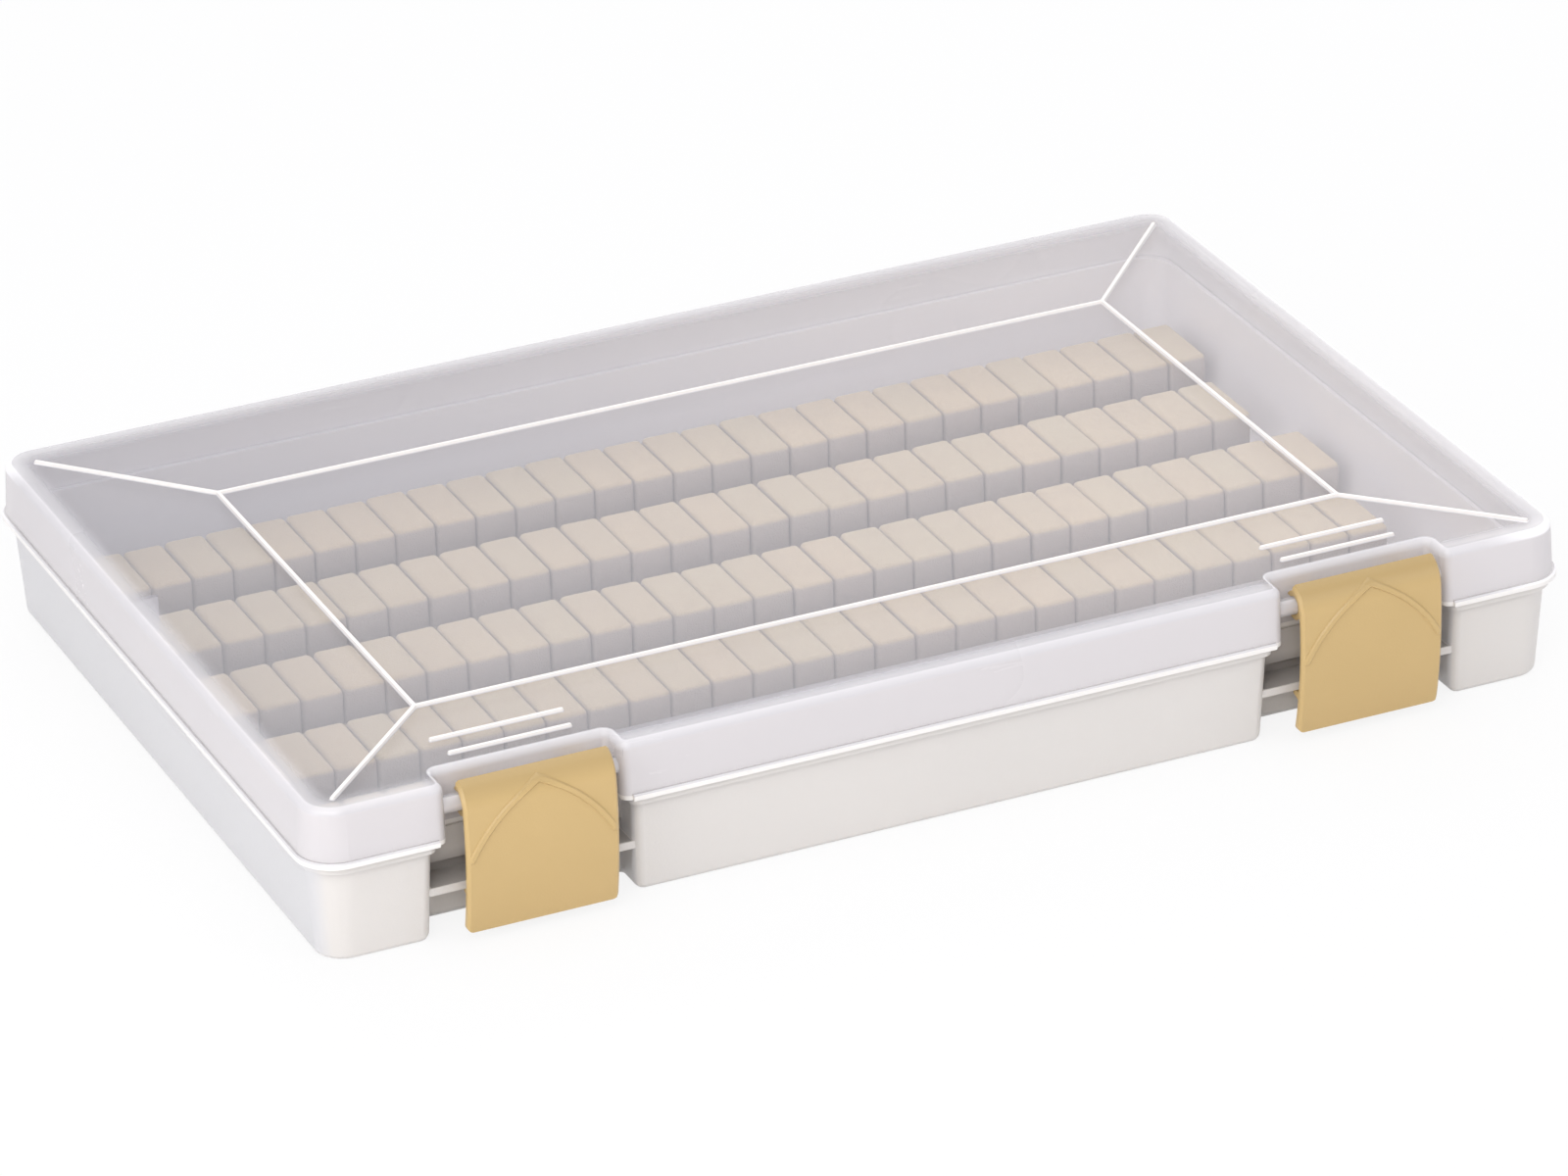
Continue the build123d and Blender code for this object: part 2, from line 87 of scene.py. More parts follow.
class NodeSheet:
    """A node tree that is laid out from left to right as it is written."""

    def __init__(self, tree: bpy.types.NodeTree) -> None:
        """Starts on an empty tree.

        Args:
            tree: the tree to fill.
        """
        self.tree = tree
        self.tree.nodes.clear()
        self._column = 0

    def add(self, kind: str, **settings: object) -> bpy.types.Node:
        """Adds one node.

        Args:
            kind: the node's type name.
            settings: attributes of the node, and input defaults by name with "in_" before it.

        Returns:
            The new node.
        """
        node = self.tree.nodes.new(kind)
        node.location = (self._column * COLUMN_STEP, -(self._column % SHEET_ROWS) * ROW_STEP)
        self._column += 1
        for name, value in settings.items():
            if name.startswith("in_"):
                socket = name.removeprefix("in_").replace("_", " ")
                node.inputs[socket].default_value = value
            else:
                setattr(node, name, value)
        return node

    def group(self, tree: bpy.types.NodeTree, values: dict[str, float]) -> bpy.types.Node:
        """Adds a shared shader group.

        Args:
            tree: the group.
            values: input values by socket name.

        Returns:
            The group's node.
        """
        node = self.add("ShaderNodeGroup", node_tree=tree)
        for label, value in values.items():
            node.inputs[label].default_value = value
        return node

    def link(self, source: bpy.types.NodeSocket, target: bpy.types.NodeSocket) -> None:
        """Joins an output to an input."""
        self.tree.links.new(source, target)

    def feed(self, value: object, target: bpy.types.NodeSocket) -> None:
        """Gives an input its value.

        Args:
            value: a number, a colour or an output socket.
            target: the input socket.
        """
        if isinstance(value, bpy.types.NodeSocket):
            self.link(value, target)
        elif isinstance(value, tuple):
            target.default_value = (*value, 1.0)
        else:
            target.default_value = value

    def split(self, coordinate: str) -> bpy.types.Node:
        """Adds a texture coordinate, taken apart into X, Y and Z.

        Args:
            coordinate: the coordinate's name, Object or Normal.

        Returns:
            The node with the three parts.
        """
        place = self.add("ShaderNodeTexCoord")
        parts = self.add("ShaderNodeSeparateXYZ")
        self.link(place.outputs[coordinate], parts.inputs["Vector"])
        return parts

    def maths(self, operation: str, first: object, second: object = 0.0,
              clamp: bool = False) -> bpy.types.NodeSocket:
        """Adds a Math node whose operands are numbers or sockets.

        Args:
            operation: the Math node's operation.
            first: a number or an output socket.
            second: a number or an output socket.
            clamp: whether the result is held between 0 and 1.

        Returns:
            The result's socket.
        """
        node = self.add("ShaderNodeMath", operation=operation, use_clamp=clamp)
        self.feed(first, node.inputs[0])
        self.feed(second, node.inputs[1])
        return node.outputs[0]

    def ramp(self, factor: bpy.types.NodeSocket, low: float, high: float,
             to_low: float, to_high: float) -> bpy.types.NodeSocket:
        """Adds a smooth Map Range node.

        Args:
            factor: the value that is mapped.
            low: where the ramp starts.
            high: where the ramp ends.
            to_low: the result at and before the start.
            to_high: the result at and after the end.

        Returns:
            The result's socket.
        """
        node = self.add("ShaderNodeMapRange", interpolation_type="SMOOTHSTEP")
        limits = {"From Min": low, "From Max": high, "To Min": to_low, "To Max": to_high}
        for name, value in limits.items():
            node.inputs[name].default_value = value
        self.link(factor, node.inputs["Value"])
        return node.outputs["Result"]

    def span(self, factor: bpy.types.NodeSocket, first: object, second: object) -> bpy.types.NodeSocket:
        """Adds a value Mix node.

        Args:
            factor: where the second value holds.
            first: a number or an output socket.
            second: a number or an output socket.

        Returns:
            The mixed value's socket.
        """
        node = self.add("ShaderNodeMix", data_type="FLOAT")
        self.link(factor, node.inputs[MIX_FACTOR])
        for index, value in zip(MIX_VALUES, (first, second)):
            self.feed(value, node.inputs[index])
        return node.outputs[MIXED_VALUE]

    def mix(self, factor: bpy.types.NodeSocket, first: object, second: object) -> bpy.types.NodeSocket:
        """Adds a colour Mix node.

        Args:
            factor: where the second colour shows.
            first: a colour or an output socket.
            second: a colour or an output socket.

        Returns:
            The mixed colour's socket.
        """
        node = self.add("ShaderNodeMix", data_type="RGBA")
        self.link(factor, node.inputs[MIX_FACTOR])
        for index, colour in zip(MIX_COLOURS, (first, second)):
            self.feed(colour, node.inputs[index])
        return node.outputs[MIXED_COLOUR]


def shader_group(name: str, inputs: tuple[str, ...],
                 outputs: tuple[str, ...]) -> tuple[NodeSheet, bpy.types.Node, bpy.types.Node]:
    """Makes an empty shader group with float sockets.

    Args:
        name: the group's name.
        inputs: input names.
        outputs: output names.

    Returns:
        The sheet of the group, and its input and output nodes.
    """
    tree = bpy.data.node_groups.new(name, "ShaderNodeTree")
    for side, labels in (("INPUT", inputs), ("OUTPUT", outputs)):
        for label in labels:
            tree.interface.new_socket(label, in_out=side, socket_type="NodeSocketFloat")
    sheet = NodeSheet(tree)
    return sheet, sheet.add("NodeGroupInput"), sheet.add("NodeGroupOutput")


@dataclass
class ShaderGroups:
    """The effects that several finishes share, each built once."""

    mark_range: Range = (0.56, 0.74)
    border_range: Range = (0.15, 0.9)
    # How far the painted inner shade reaches from the left to the right.
    inner_shade_range: Range = (-200.0 * MM, 200.0 * MM)
    grain: bpy.types.NodeTree = field(init=False)
    scuffs: bpy.types.NodeTree = field(init=False)
    room: bpy.types.NodeTree = field(init=False)

    def __post_init__(self) -> None:
        """Builds the groups."""
        self.grain = self._grain()
        self.scuffs = self._scuffs()
        self.room = self._room()

    def _grain(self) -> bpy.types.NodeTree:
        """A fine surface grain over a slow unevenness, as moulded and foamed surfaces have.

        Returns:
            A group with Scale, Slow Scale and Share in, Height and Shade out.
        """
        inputs = ("Scale", "Slow Scale", "Share")
        sheet, given, result = shader_group("surface_grain", inputs, ("Height", "Shade"))
        place = sheet.add("ShaderNodeTexCoord")
        fine = sheet.add("ShaderNodeTexNoise", in_Detail=3.0, in_Roughness=0.6)
        slow = sheet.add("ShaderNodeTexNoise", in_Detail=2.0, in_Roughness=0.5)
        for texture, scale in ((fine, "Scale"), (slow, "Slow Scale")):
            sheet.link(place.outputs["Object"], texture.inputs["Vector"])
            sheet.link(given.outputs[scale], texture.inputs["Scale"])
        weighed = sheet.maths("MULTIPLY", fine.outputs["Fac"], given.outputs["Share"])
        rest = sheet.maths("SUBTRACT", 1.0, given.outputs["Share"])
        swell = sheet.maths("MULTIPLY", slow.outputs["Fac"], rest)
        sheet.link(sheet.maths("ADD", weighed, swell), result.inputs["Height"])
        sheet.link(slow.outputs["Fac"], result.inputs["Shade"])
        return sheet.tree

    def _scuffs(self) -> bpy.types.NodeTree:
        """Faint rub marks, long in one direction.

        Returns:
            A group with Scale, Stretch and Amount in, and Mask out.
        """
        sheet, given, result = shader_group("rub_marks", ("Scale", "Stretch", "Amount"), ("Mask",))
        point = sheet.split("Object")
        joined = sheet.add("ShaderNodeCombineXYZ")
        sheet.link(point.outputs["X"], joined.inputs["X"])
        for axis in ("Y", "Z"):
            stretched = sheet.maths("MULTIPLY", point.outputs[axis], given.outputs["Stretch"])
            sheet.link(stretched, joined.inputs[axis])
        marks = sheet.add("ShaderNodeTexNoise", in_Detail=4.0, in_Roughness=0.65, in_Distortion=0.4)
        sheet.link(joined.outputs["Vector"], marks.inputs["Vector"])
        sheet.link(given.outputs["Scale"], marks.inputs["Scale"])
        lines = sheet.ramp(marks.outputs["Fac"], *self.mark_range, 0.0, 1.0)
        sheet.link(sheet.maths("MULTIPLY", lines, given.outputs["Amount"]), result.inputs["Mask"])
        return sheet.tree

    def _room(self) -> bpy.types.NodeTree:
        """Tells the faces that look into the box from those that look out.

        The limits run through the middle of the walls and round their corners, and a notch leaves out
        the latch recesses.

        Returns:
            A group with the limits of the room in, and Mask, Right and Border out.
        """
        inputs = ("Half X", "Half Y", "Corner", "Lean", "Floor", "Ceiling", "Notch X", "Notch Half",
                  "Notch Y", "Notch Lean")
        sheet, given, result = shader_group("room_mask", inputs, ("Mask", "Right", "Border"))
        point = sheet.split("Object")
        height = point.outputs["Z"]
        across = sheet.maths("ABSOLUTE", point.outputs["X"])
        along = sheet.maths("ABSOLUTE", point.outputs["Y"])
        lean = sheet.maths("SUBTRACT", sheet.maths("MULTIPLY", height, given.outputs["Lean"]),
                           given.outputs["Corner"])
        excess = []
        for distance, limit in ((across, "Half X"), (along, "Half Y")):
            straight = sheet.maths("ADD", given.outputs[limit], lean)
            over = sheet.maths("MAXIMUM", sheet.maths("SUBTRACT", distance, straight), 0.0)
            excess.append(sheet.maths("MULTIPLY", over, over))
        reach = sheet.maths("SQRT", sheet.maths("ADD", *excess))
        share = sheet.maths("DIVIDE", reach, given.outputs["Corner"])
        sheet.link(sheet.ramp(share, *self.border_range, 0.0, 1.0), result.inputs["Border"])
        tests = [sheet.maths("LESS_THAN", reach, given.outputs["Corner"]),
                 sheet.maths("GREATER_THAN", height, given.outputs["Floor"]),
                 sheet.maths("LESS_THAN", height, given.outputs["Ceiling"])]
        aside = sheet.maths("ABSOLUTE", sheet.maths("SUBTRACT", across, given.outputs["Notch X"]))
        sunk = sheet.maths("MULTIPLY", height, given.outputs["Notch Lean"])
        notch_back = sheet.maths("ADD", given.outputs["Notch Y"], sunk)
        beyond = sheet.maths("MULTIPLY", sheet.maths("LESS_THAN", aside, given.outputs["Notch Half"]),
                             sheet.maths("LESS_THAN", point.outputs["Y"], notch_back))
        inside = sheet.maths("SUBTRACT", 1.0, beyond)
        for test in tests:
            inside = sheet.maths("MULTIPLY", inside, test)
        sheet.link(inside, result.inputs["Mask"])
        # Right runs from the left to the right of the box and sets where the painted inner shade falls
        # off.
        sheet.link(sheet.ramp(point.outputs["X"], *self.inner_shade_range, 0.0, 1.0), result.inputs["Right"])
        return sheet.tree


def new_material(name: str) -> tuple[bpy.types.Material, NodeSheet, bpy.types.Node]:
    """Makes a material with one Principled BSDF wired to its output.

    Args:
        name: the material's name.

    Returns:
        The material, its node sheet and the shader.
    """
    material = bpy.data.materials.new(name)
    material.use_nodes = True
    sheet = NodeSheet(material.node_tree)
    shader = sheet.add("ShaderNodeBsdfPrincipled")
    output = sheet.add("ShaderNodeOutputMaterial")
    sheet.link(shader.outputs["BSDF"], output.inputs["Surface"])
    return material, sheet, shader


@dataclass(frozen=True)
class Texture:
    """How a finish uses the shared grain."""

    scale: float
    slow_scale: float
    share: float
    depth: float
    strength: float

    def lay(self, sheet: NodeSheet, groups: ShaderGroups, shader: bpy.types.Node) -> bpy.types.NodeSocket:
        """Wires the grain into the shader's normal.

        Args:
            sheet: the material's sheet.
            groups: the shared groups.
            shader: the Principled BSDF.

        Returns:
            The slow unevenness, for colour and roughness.
        """
        values = {"Scale": self.scale, "Slow Scale": self.slow_scale, "Share": self.share}
        grain = sheet.group(groups.grain, values)
        bump = sheet.add("ShaderNodeBump", in_Strength=self.strength, in_Distance=self.depth)
        sheet.link(grain.outputs["Height"], bump.inputs["Height"])
        sheet.link(bump.outputs["Normal"], shader.inputs["Normal"])
        return grain.outputs["Shade"]


@dataclass(frozen=True)
class Rubbing:
    """How a finish uses the shared rub marks."""

    amount: float = 0.2
    scale: float = 60.0
    stretch: float = 9.0

    def lay(self, sheet: NodeSheet, groups: ShaderGroups, shader: bpy.types.Node,
            roughness: object) -> None:
        """Wires the marks into the shader's roughness.

        Args:
            sheet: the material's sheet.
            groups: the shared groups.
            shader: the Principled BSDF.
            roughness: the roughness between the marks, a number or an output socket.
        """
        values = {"Scale": self.scale, "Stretch": self.stretch, "Amount": self.amount}
        marks = sheet.group(groups.scuffs, values)
        sheet.link(sheet.maths("ADD", marks.outputs["Mask"], roughness), shader.inputs["Roughness"])


@dataclass(frozen=True)
class Room:
    """The room inside a moulding, with limits that run through the middle of its walls."""

    half_x: float
    half_y: float
    corner: float
    lean: float
    floor: float
    ceiling: float
    notch_x: float
    notch_half: float
    notch_y: float
    notch_lean: float

    def lay(self, sheet: NodeSheet, groups: ShaderGroups) -> bpy.types.Node:
        """Adds the shared room group with the limits of this room.

        Args:
            sheet: the material's sheet.
            groups: the shared groups.

        Returns:
            The group's node.
        """
        values = {"Half X": self.half_x, "Half Y": self.half_y, "Corner": self.corner, "Lean": self.lean,
                  "Floor": self.floor, "Ceiling": self.ceiling, "Notch X": self.notch_x,
                  "Notch Half": self.notch_half, "Notch Y": self.notch_y, "Notch Lean": self.notch_lean}
        return sheet.group(groups.room, values)


@dataclass(frozen=True)
class MilkyPlastic:
    """The tray: warm white polypropylene that lets a little light in, with painted shade on its left side,
    inside its room and in its latch recesses.
    """

    colour: Colour = (0.735, 0.705, 0.675)
    shade: Colour = (0.695, 0.67, 0.645)
    # The side colour is painted shade on the faces that look to the left.
    side: Colour = (0.655, 0.65, 0.66)
    # The inside colours are painted shade, darker to the left where less light falls inside.
    inner_shaded_left: Colour = (0.51, 0.495, 0.53)
    inner_lit_right: Colour = (0.82, 0.79, 0.795)
    # The recess colour is a painted shade on the catch rails and the walls just above them.
    recess_shade: Colour = (0.38, 0.36, 0.345)
    recess_x: float = 116.5 * MM
    recess_half: float = 27.1 * MM
    recess_y: Range = (-110.9 * MM, -101.9 * MM)
    recess_low: Range = (13.9 * MM, 14.3 * MM)
    recess_high: Range = (16.0 * MM, 21.0 * MM)
    recess_above: float = 0.1
    shaded_side_normal: Range = (-0.98, -0.6)
    room: Room = Room(half_x=171.8 * MM, half_y=110.5 * MM, corner=7.2 * MM, lean=0.073, floor=1.0 * MM,
                      ceiling=40.0 * MM, notch_x=0.0, notch_half=145.1 * MM, notch_y=-100.6 * MM,
                      notch_lean=-0.065)
    roughness: float = 0.36
    ior: float = 1.49
    subsurface: float = 0.25
    light_depth: float = 2.5 * MM
    light_spread: Colour = (1.0, 0.95, 0.9)
    texture: Texture = Texture(scale=1400.0, slow_scale=14.0, share=0.35, depth=0.4 * MM, strength=0.25)
    rubbing: Rubbing = Rubbing(amount=0.1)

    def material(self, groups: ShaderGroups) -> bpy.types.Material:
        """Builds the finish.

        Args:
            groups: the shared groups.

        Returns:
            The material.
        """
        material, sheet, shader = new_material("milky_polypropylene")
        unevenness = self.texture.lay(sheet, groups, shader)
        normal = sheet.split("Normal")
        # Faces that look to the left take the side colour, a painted shade.
        left_side_shade = sheet.ramp(normal.outputs["X"], *self.shaded_side_normal, 1.0, 0.0)
        plain = sheet.mix(left_side_shade, sheet.mix(unevenness, self.colour, self.shade), self.side)
        room = self.room.lay(sheet, groups)
        # The inside takes painted shade that darkens towards the left.
        inner_shading = sheet.mix(room.outputs["Right"], self.inner_shaded_left, self.inner_lit_right)
        shown = sheet.mix(room.outputs["Mask"], plain, inner_shading)
        # The catch rails and the walls above them take a painted shade.
        sheet.link(sheet.mix(self.painted_recess_shade(sheet), shown, self.recess_shade), shader.inputs["Base Color"])
        self.rubbing.lay(sheet, groups, shader, self.roughness)
        shader.inputs["Subsurface Weight"].default_value = self.subsurface
        shader.inputs["Subsurface Radius"].default_value = self.light_spread
        shader.inputs["Subsurface Scale"].default_value = self.light_depth
        shader.inputs["IOR"].default_value = self.ior
        return material

    def painted_recess_shade(self, sheet: NodeSheet) -> bpy.types.NodeSocket:
        """Tells the catch rails and the walls just above them, which lie in the shade of the latches and
        where that shade is painted.

        Args:
            sheet: the material's sheet.

        Returns:
            A value that is 1 in that shade.
        """
        point = sheet.split("Object")
        across = sheet.maths("SUBTRACT", sheet.maths("ABSOLUTE", point.outputs["X"]), self.recess_x)
        beside = sheet.maths("LESS_THAN", sheet.maths("ABSOLUTE", across), self.recess_half)
        behind = sheet.maths("GREATER_THAN", point.outputs["Y"], self.recess_y[0])
        before = sheet.maths("LESS_THAN", point.outputs["Y"], self.recess_y[1])
        above = sheet.ramp(point.outputs["Z"], *self.recess_low, 0.0, 1.0)
        below = sheet.ramp(point.outputs["Z"], *self.recess_high, 1.0, self.recess_above)
        level = sheet.maths("MULTIPLY", beside, sheet.maths("MULTIPLY", above, below))
        return sheet.maths("MULTIPLY", sheet.maths("MULTIPLY", behind, before), level)


@dataclass(frozen=True)
class ClearPlastic:
    """The lid: clear in its flat top, hazy in its walls and frosted along edges, lip and lines, with a
    painted highlight on its far edges and painted shade inside that darkens to the left.
    """

    flat: Colour = (0.80, 0.79, 0.83)
    wall: Colour = (0.775, 0.745, 0.755)
    # The inside colours are painted shade, darker to the left where less light falls inside.
    inner_shaded_left: Colour = (0.54, 0.52, 0.56)
    inner_lit_right: Colour = (0.82, 0.79, 0.80)
    edge: Colour = (0.72, 0.705, 0.725)
    # The far edges get a painted highlight, lighter and more opaque than the near ones.
    far_edge_highlight: Colour = (0.98, 0.97, 0.985)
    far_x: Range = (150.0 * MM, 172.0 * MM)
    far_y: Range = (92.0 * MM, 112.0 * MM)
    lip: Colour = (0.93, 0.905, 0.88)
    raised: Colour = (0.86, 0.825, 0.80)
    flat_cover: float = 0.17
    border_cover: float = 0.5
    far_highlight_cover: float = 0.94
    wall_cover: float = 0.80
    edge_cover: float = 0.82
    bright_cover: float = 0.93
    roughness: float = 0.50
    ior: float = 1.49
    round_normal: Range = (0.10, 0.35)
    level_normal: Range = (0.93, 0.995)
    line_height: float = 44.22 * MM
    lip_height: float = 29.5 * MM
    blend: float = 0.25 * MM
    room: Room = Room(half_x=174.95 * MM, half_y=113.65 * MM, corner=9.1 * MM, lean=0.0, floor=25.0 * MM,
                      ceiling=43.2 * MM, notch_x=116.5 * MM, notch_half=24.3 * MM, notch_y=-104.4 * MM,
                      notch_lean=0.0)
    texture: Texture = Texture(scale=700.0, slow_scale=9.0, share=0.15, depth=0.6 * MM, strength=0.12)
    rubbing: Rubbing = Rubbing(amount=0.05)

    def material(self, groups: ShaderGroups) -> bpy.types.Material:
        """Builds the finish.

        Args:
            groups: the shared groups.

        Returns:
            The material.
        """
        material, sheet, shader = new_material("clear_polypropylene")
        unevenness = self.texture.lay(sheet, groups, shader)
        point = sheet.split("Object")
        height = point.outputs["Z"]
        upward = sheet.maths("ABSOLUTE", sheet.split("Normal").outputs["Z"])
        rounded = sheet.ramp(upward, *self.round_normal, 0.0, 1.0)
        level = sheet.ramp(upward, *self.level_normal, 0.0, 1.0)
        line = sheet.ramp(height, self.line_height, self.line_height + self.blend, 0.0, 1.0)
        lip = sheet.ramp(height, self.lip_height - self.blend, self.lip_height, 1.0, 0.0)
        bright = sheet.maths("MAXIMUM", line, lip)
        room = self.room.lay(sheet, groups)
        # The inner walls take painted shade that darkens towards the left.
        inner_shading = sheet.mix(room.outputs["Right"], self.inner_shaded_left, self.inner_lit_right)
        # Edges towards the back and the right are painted lighter as a highlight.
        far_painted_light = sheet.maths("MAXIMUM", sheet.ramp(point.outputs["X"], *self.far_x, 0.0, 1.0),
                          sheet.ramp(point.outputs["Y"], *self.far_y, 0.0, 1.0))
        edge = sheet.mix(far_painted_light, self.edge, self.far_edge_highlight)
        sloped = sheet.mix(rounded, sheet.mix(room.outputs["Mask"], self.wall, inner_shading), edge)
        top = sheet.mix(room.outputs["Border"], self.flat, edge)
        shown = sheet.mix(line, sheet.mix(lip, sheet.mix(level, sloped, top), self.lip), self.raised)
        sheet.link(shown, shader.inputs["Base Color"])
        top_cover = sheet.span(room.outputs["Border"], self.flat_cover, self.border_cover)
        edge_cover = sheet.span(far_painted_light, self.edge_cover, self.far_highlight_cover)
        cover = sheet.span(level, sheet.span(rounded, self.wall_cover, edge_cover), top_cover)
        sheet.link(sheet.span(bright, cover, self.bright_cover), shader.inputs["Alpha"])
        self.rubbing.lay(sheet, groups, shader, sheet.maths("MULTIPLY", unevenness, self.roughness))
        shader.inputs["IOR"].default_value = self.ior
        return material


@dataclass(frozen=True)
class GoldPlastic:
    """The latches: satin plastic in a soft gold, painted darker as shade where faces look up, as on the
    curl.
    """

    colour: Colour = (0.60, 0.425, 0.19)
    shade: Colour = (0.56, 0.395, 0.17)
    # A painted shade on faces that look up, as the curl does.
    curl_painted_shade: Colour = (0.43, 0.30, 0.125)
    curl_shade_normal: Range = (0.05, 0.8)
    roughness: float = 0.36
    ior: float = 1.5
    texture: Texture = Texture(scale=1800.0, slow_scale=40.0, share=0.4, depth=0.3 * MM, strength=0.3)
    rubbing: Rubbing = Rubbing(amount=0.15)

    def material(self, groups: ShaderGroups) -> bpy.types.Material:
        """Builds the finish.

        Args:
            groups: the shared groups.

        Returns:
            The material.
        """
        material, sheet, shader = new_material("satin_gold_plastic")
        unevenness = self.texture.lay(sheet, groups, shader)
        # Faces that look up are painted darker as shade.
        upward = sheet.ramp(sheet.split("Normal").outputs["Z"], *self.curl_shade_normal, 0.0, 1.0)
        plain = sheet.mix(unevenness, self.colour, self.shade)
        sheet.link(sheet.mix(upward, plain, self.curl_painted_shade), shader.inputs["Base Color"])
        self.rubbing.lay(sheet, groups, shader, self.roughness)
        shader.inputs["IOR"].default_value = self.ior
        return material


@dataclass(frozen=True)
class ClosedCellFoam:
    """The strips: matt beige foam with small cells, each block a little different, with painted shade
    greying the upright sides and darkening the strips towards the left.
    """

    warm: Colour = (0.79, 0.635, 0.445)
    dull: Colour = (0.70, 0.61, 0.43)
    pore: Colour = (0.62, 0.50, 0.36)
    # The side colour is painted shade on the upright faces.
    side: Colour = (0.44, 0.41, 0.44)
    side_shade_share: float = 0.62
    shaded_side_normal: Range = (0.1, 0.8)
    left_shade: float = 0.73
    shaded_x: Range = (-220.0 * MM, 180.0 * MM)
    roughness: float = 0.92
    specular: float = 0.2
    sheen: float = 0.15
    cell_scale: float = 1500.0
    pore_range: Range = (0.15, 0.6)
    pore_share: float = 0.5
    mottling: float = 0.6
    texture: Texture = Texture(scale=2200.0, slow_scale=55.0, share=0.7, depth=0.8 * MM, strength=0.6)

    def material(self, groups: ShaderGroups) -> bpy.types.Material:
        """Builds the finish.

        Args:
            groups: the shared groups.

        Returns:
            The material.
        """
        material, sheet, shader = new_material("closed_cell_foam")
        unevenness = self.texture.lay(sheet, groups, shader)
        tint = sheet.add("ShaderNodeAttribute", attribute_name=BLOCK_TINT)
        spread = sheet.ramp(tint.outputs["Fac"], -TINT_SPREAD, TINT_SPREAD, 0.0, 1.0)
        skin = sheet.mix(spread, self.warm, self.dull)
        place = sheet.add("ShaderNodeTexCoord")
        cells = sheet.add("ShaderNodeTexVoronoi", feature="F1", in_Scale=self.cell_scale)
        sheet.link(place.outputs["Object"], cells.inputs["Vector"])
        pores = sheet.ramp(cells.outputs["Distance"], *self.pore_range, 0.0, self.pore_share)
        spots = sheet.maths("MULTIPLY", unevenness, self.mottling)
        mottled = sheet.maths("ADD", spots, pores, clamp=True)
        # Upright faces take the side colour as painted shade.
        upright_shade = sheet.ramp(sheet.split("Normal").outputs["Z"], *self.shaded_side_normal, self.side_shade_share, 0.0)
        block = sheet.mix(upright_shade, sheet.mix(mottled, skin, self.pore), self.side)
        light = sheet.ramp(sheet.split("Object").outputs["X"], *self.shaded_x, self.left_shade, 1.0)
        dimmed = sheet.add("ShaderNodeVectorMath", operation="SCALE")
        sheet.link(block, dimmed.inputs[0])
        sheet.link(light, dimmed.inputs["Scale"])
        sheet.link(dimmed.outputs["Vector"], shader.inputs["Base Color"])
        shader.inputs["Roughness"].default_value = self.roughness
        shader.inputs["Specular IOR Level"].default_value = self.specular
        shader.inputs["Sheen Weight"].default_value = self.sheen
        return material


@dataclass(frozen=True)
class DrawnSteel:
    """The hinge pins: bright wire, drawn along its length."""

    colour: Colour = (0.62, 0.62, 0.61)
    darkening: float = 0.8
    roughness: float = 0.28
    texture: Texture = Texture(scale=2500.0, slow_scale=300.0, share=0.6, depth=0.2 * MM, strength=0.3)
    rubbing: Rubbing = Rubbing(scale=400.0)

    def material(self, groups: ShaderGroups) -> bpy.types.Material:
        """Builds the finish.

        Args:
            groups: the shared groups.

        Returns:
            The material.
        """
        material, sheet, shader = new_material("drawn_steel")
        unevenness = self.texture.lay(sheet, groups, shader)
        darker = tuple(self.darkening * value for value in self.colour)
        sheet.link(sheet.mix(unevenness, self.colour, darker), shader.inputs["Base Color"])
        self.rubbing.lay(sheet, groups, shader, self.roughness)
        shader.inputs["Metallic"].default_value = 1.0
        return material


def new_object(name: str, data: bpy.types.ID) -> bpy.types.Object:
    """Makes an object in the scene.

    Args:
        name: the object's name.
        data: its mesh, lamp or camera.

    Returns:
        The object.
    """
    made = bpy.data.objects.new(name, data)
    bpy.context.scene.collection.objects.link(made)
    return made


def modified_mesh(piece: bpy.types.Object) -> bpy.types.Mesh:
    """Copies an object's mesh as its modifiers leave it.

    Args:
        piece: an object in the scene.

    Returns:
        The new mesh.
    """
    graph = bpy.context.evaluated_depsgraph_get()
    shown = piece.evaluated_get(graph)
    return bpy.data.meshes.new_from_object(shown, preserve_all_data_layers=True, depsgraph=graph)


def evaluated(carrier: bpy.types.Object, tree: bpy.types.NodeTree,
              values: dict[str, object]) -> bpy.types.Mesh:
    """Runs a geometry node tree on an object and keeps the result as a plain mesh.

    Args:
        carrier: the object whose mesh goes in.
        tree: the node tree.
        values: input values by socket name.

    Returns:
        The resulting mesh.
    """
    modifier = carrier.modifiers.new("nodes", "NODES")
    modifier.node_group = tree
    for item in tree.interface.items_tree:
        if item.item_type == "SOCKET" and item.in_out == "INPUT" and item.name in values:
            modifier[item.identifier] = values[item.name]
    mesh = modified_mesh(carrier)
    carrier.modifiers.remove(modifier)
    return mesh


